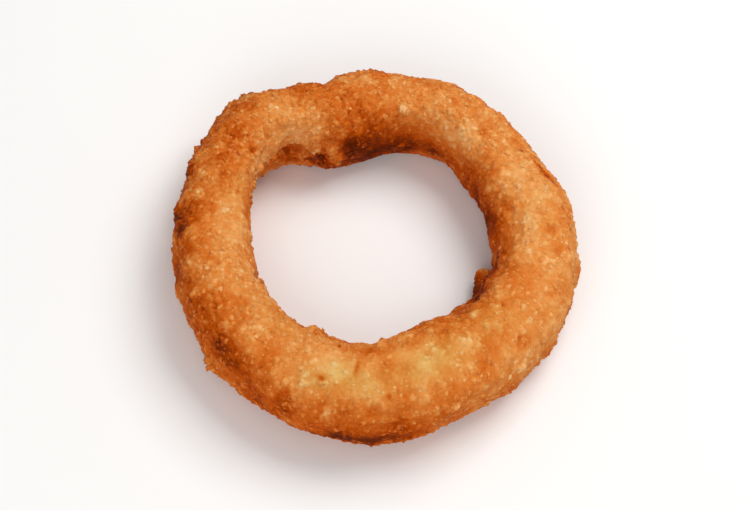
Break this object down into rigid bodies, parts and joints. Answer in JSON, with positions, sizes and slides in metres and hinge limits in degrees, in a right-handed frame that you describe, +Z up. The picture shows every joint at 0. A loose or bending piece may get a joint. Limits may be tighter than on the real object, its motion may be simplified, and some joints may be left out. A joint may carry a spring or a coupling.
{
  "type": "onion ring",
  "caption": "Single breaded and fried onion ring lying flat: a chunky golden ring of crust, thicker on one side, with a fin of crisp batter in its hole.",
  "frame": {"origin": "under the middle of the ring's box, on the surface that it rests on", "axes": "+Z up through the hole, out of the side that is shown; +X to the right and +Y away, as the ring is seen from its thicker side"},
  "size_m": [0.0742, 0.074, 0.0174],
  "materials": {
    "fried_crumb": "rough fried crumb coating with a light film of oil"
  },
  "bodies": {
    "root": {"onion_ring": "fried_crumb"}
  },
  "joints": []
}
